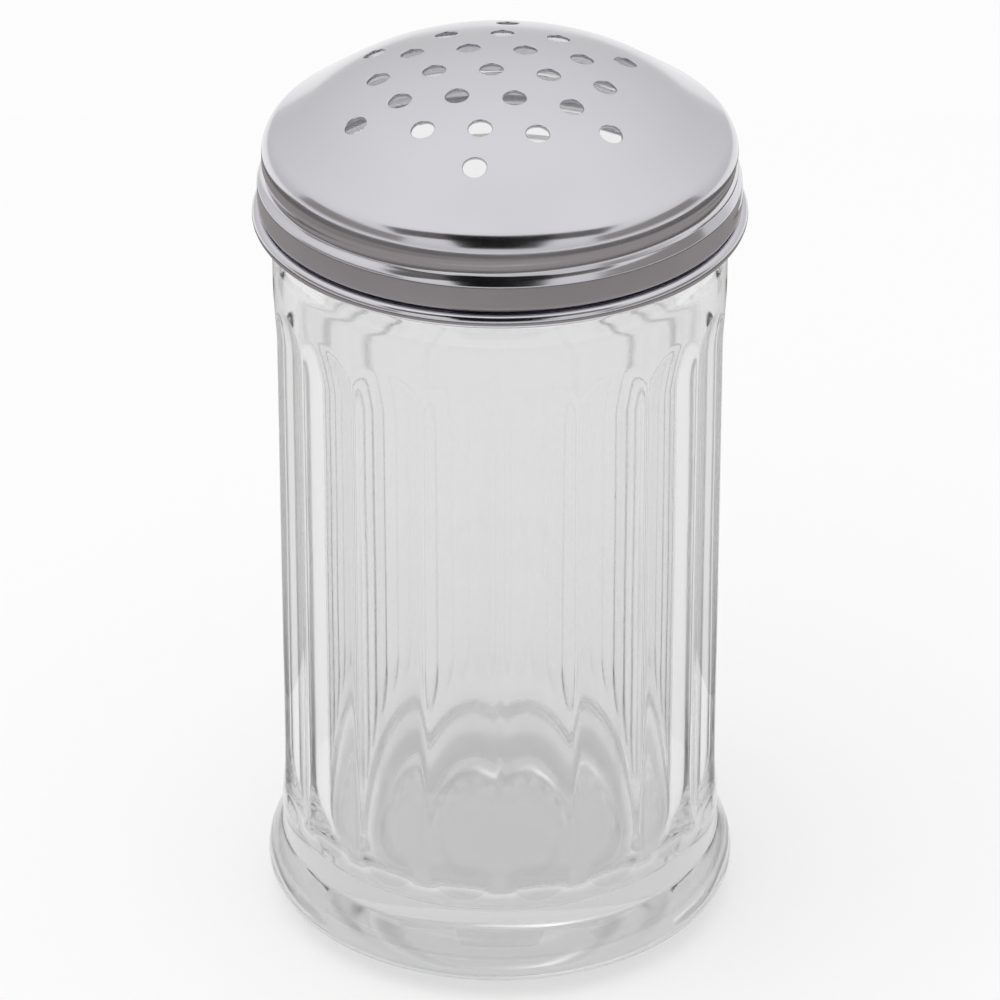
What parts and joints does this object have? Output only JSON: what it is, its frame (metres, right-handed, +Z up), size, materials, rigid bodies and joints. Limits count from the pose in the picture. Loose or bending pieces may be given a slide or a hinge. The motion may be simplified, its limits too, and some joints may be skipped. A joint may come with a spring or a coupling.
{
  "type": "spice shaker",
  "caption": "Fluted clear glass shaker jar with a heavy rounded foot and a domed, perforated stainless steel screw lid with a rolled hem.",
  "frame": {"origin": "centre of the base, on the plane the jar stands on", "axes": "+Z up along the jar's axis; -Y is the front, where one ridge of the fluted glass faces the user; +X is the user's right"},
  "size_m": [0.0764, 0.0764, 0.147],
  "materials": {
    "glass": "clear pressed soda-lime glass",
    "steel": "polished stainless steel sheet"
  },
  "bodies": {
    "jar": {"glass_jar": "glass"},
    "lid": {"perforated_lid": "steel"}
  },
  "joints": [
    {"name": "lid_lift", "type": "slide", "parent": "jar", "child": "lid", "axis": [0, 0, 1], "range_m": [0, 0.03]}
  ]
}
